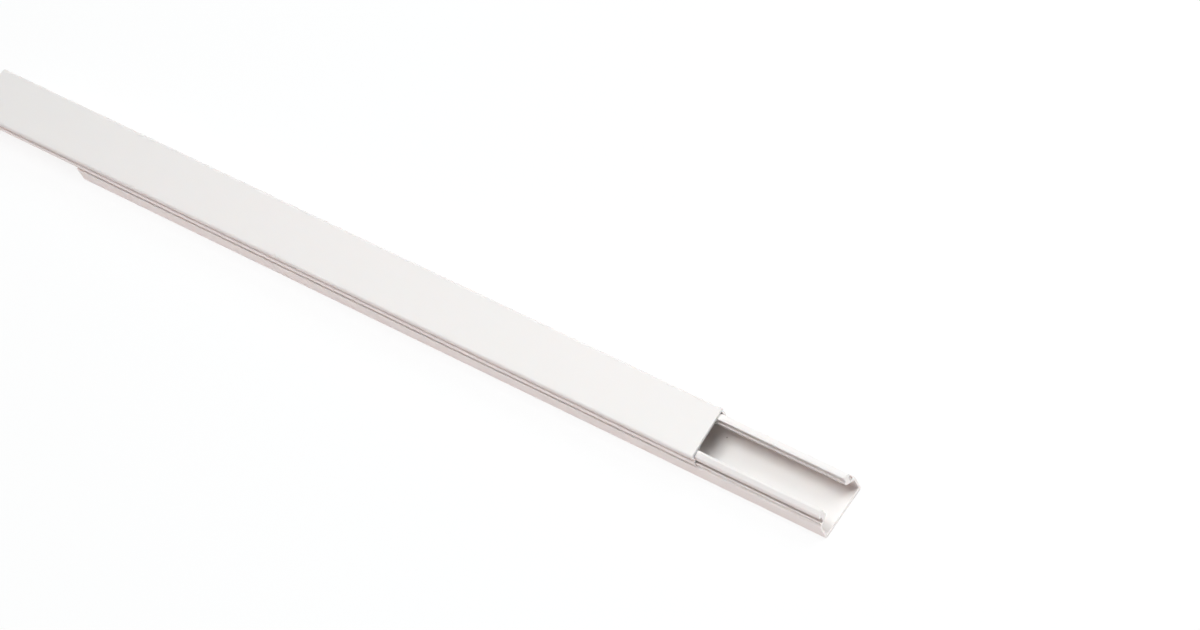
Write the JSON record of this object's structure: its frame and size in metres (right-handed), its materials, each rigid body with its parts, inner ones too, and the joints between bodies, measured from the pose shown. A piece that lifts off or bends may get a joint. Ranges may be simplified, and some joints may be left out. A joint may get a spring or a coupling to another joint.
{
  "type": "cord cover raceway",
  "caption": "Straight two-piece cord cover raceway: an adhesive-backed wall channel with necked lips and a clip-on cover that slides along them to hide cables.",
  "frame": {"origin": "middle of the release liner's face on the back of the channel, which goes to the wall", "axes": "+X along the stick towards the end where the cover is slid back, +Z out of the wall, from the back to the cover"},
  "size_m": [0.461, 0.025, 0.0163],
  "materials": {
    "channel_pvc": "satin white rigid PVC, as extruded",
    "cover_pvc": "satin white rigid PVC, as extruded",
    "tape": "matt double-sided tape",
    "liner": "blue release film"
  },
  "bodies": {
    "base": {"base_channel": "channel_pvc", "adhesive_tape": "tape", "release_liner": "liner"},
    "cover": {"snap_cover": "cover_pvc"}
  },
  "joints": [
    {"name": "cover_slide", "type": "slide", "parent": "base", "child": "cover", "axis": [1, 0, 0], "range_m": [-0.299, 0.061]}
  ]
}
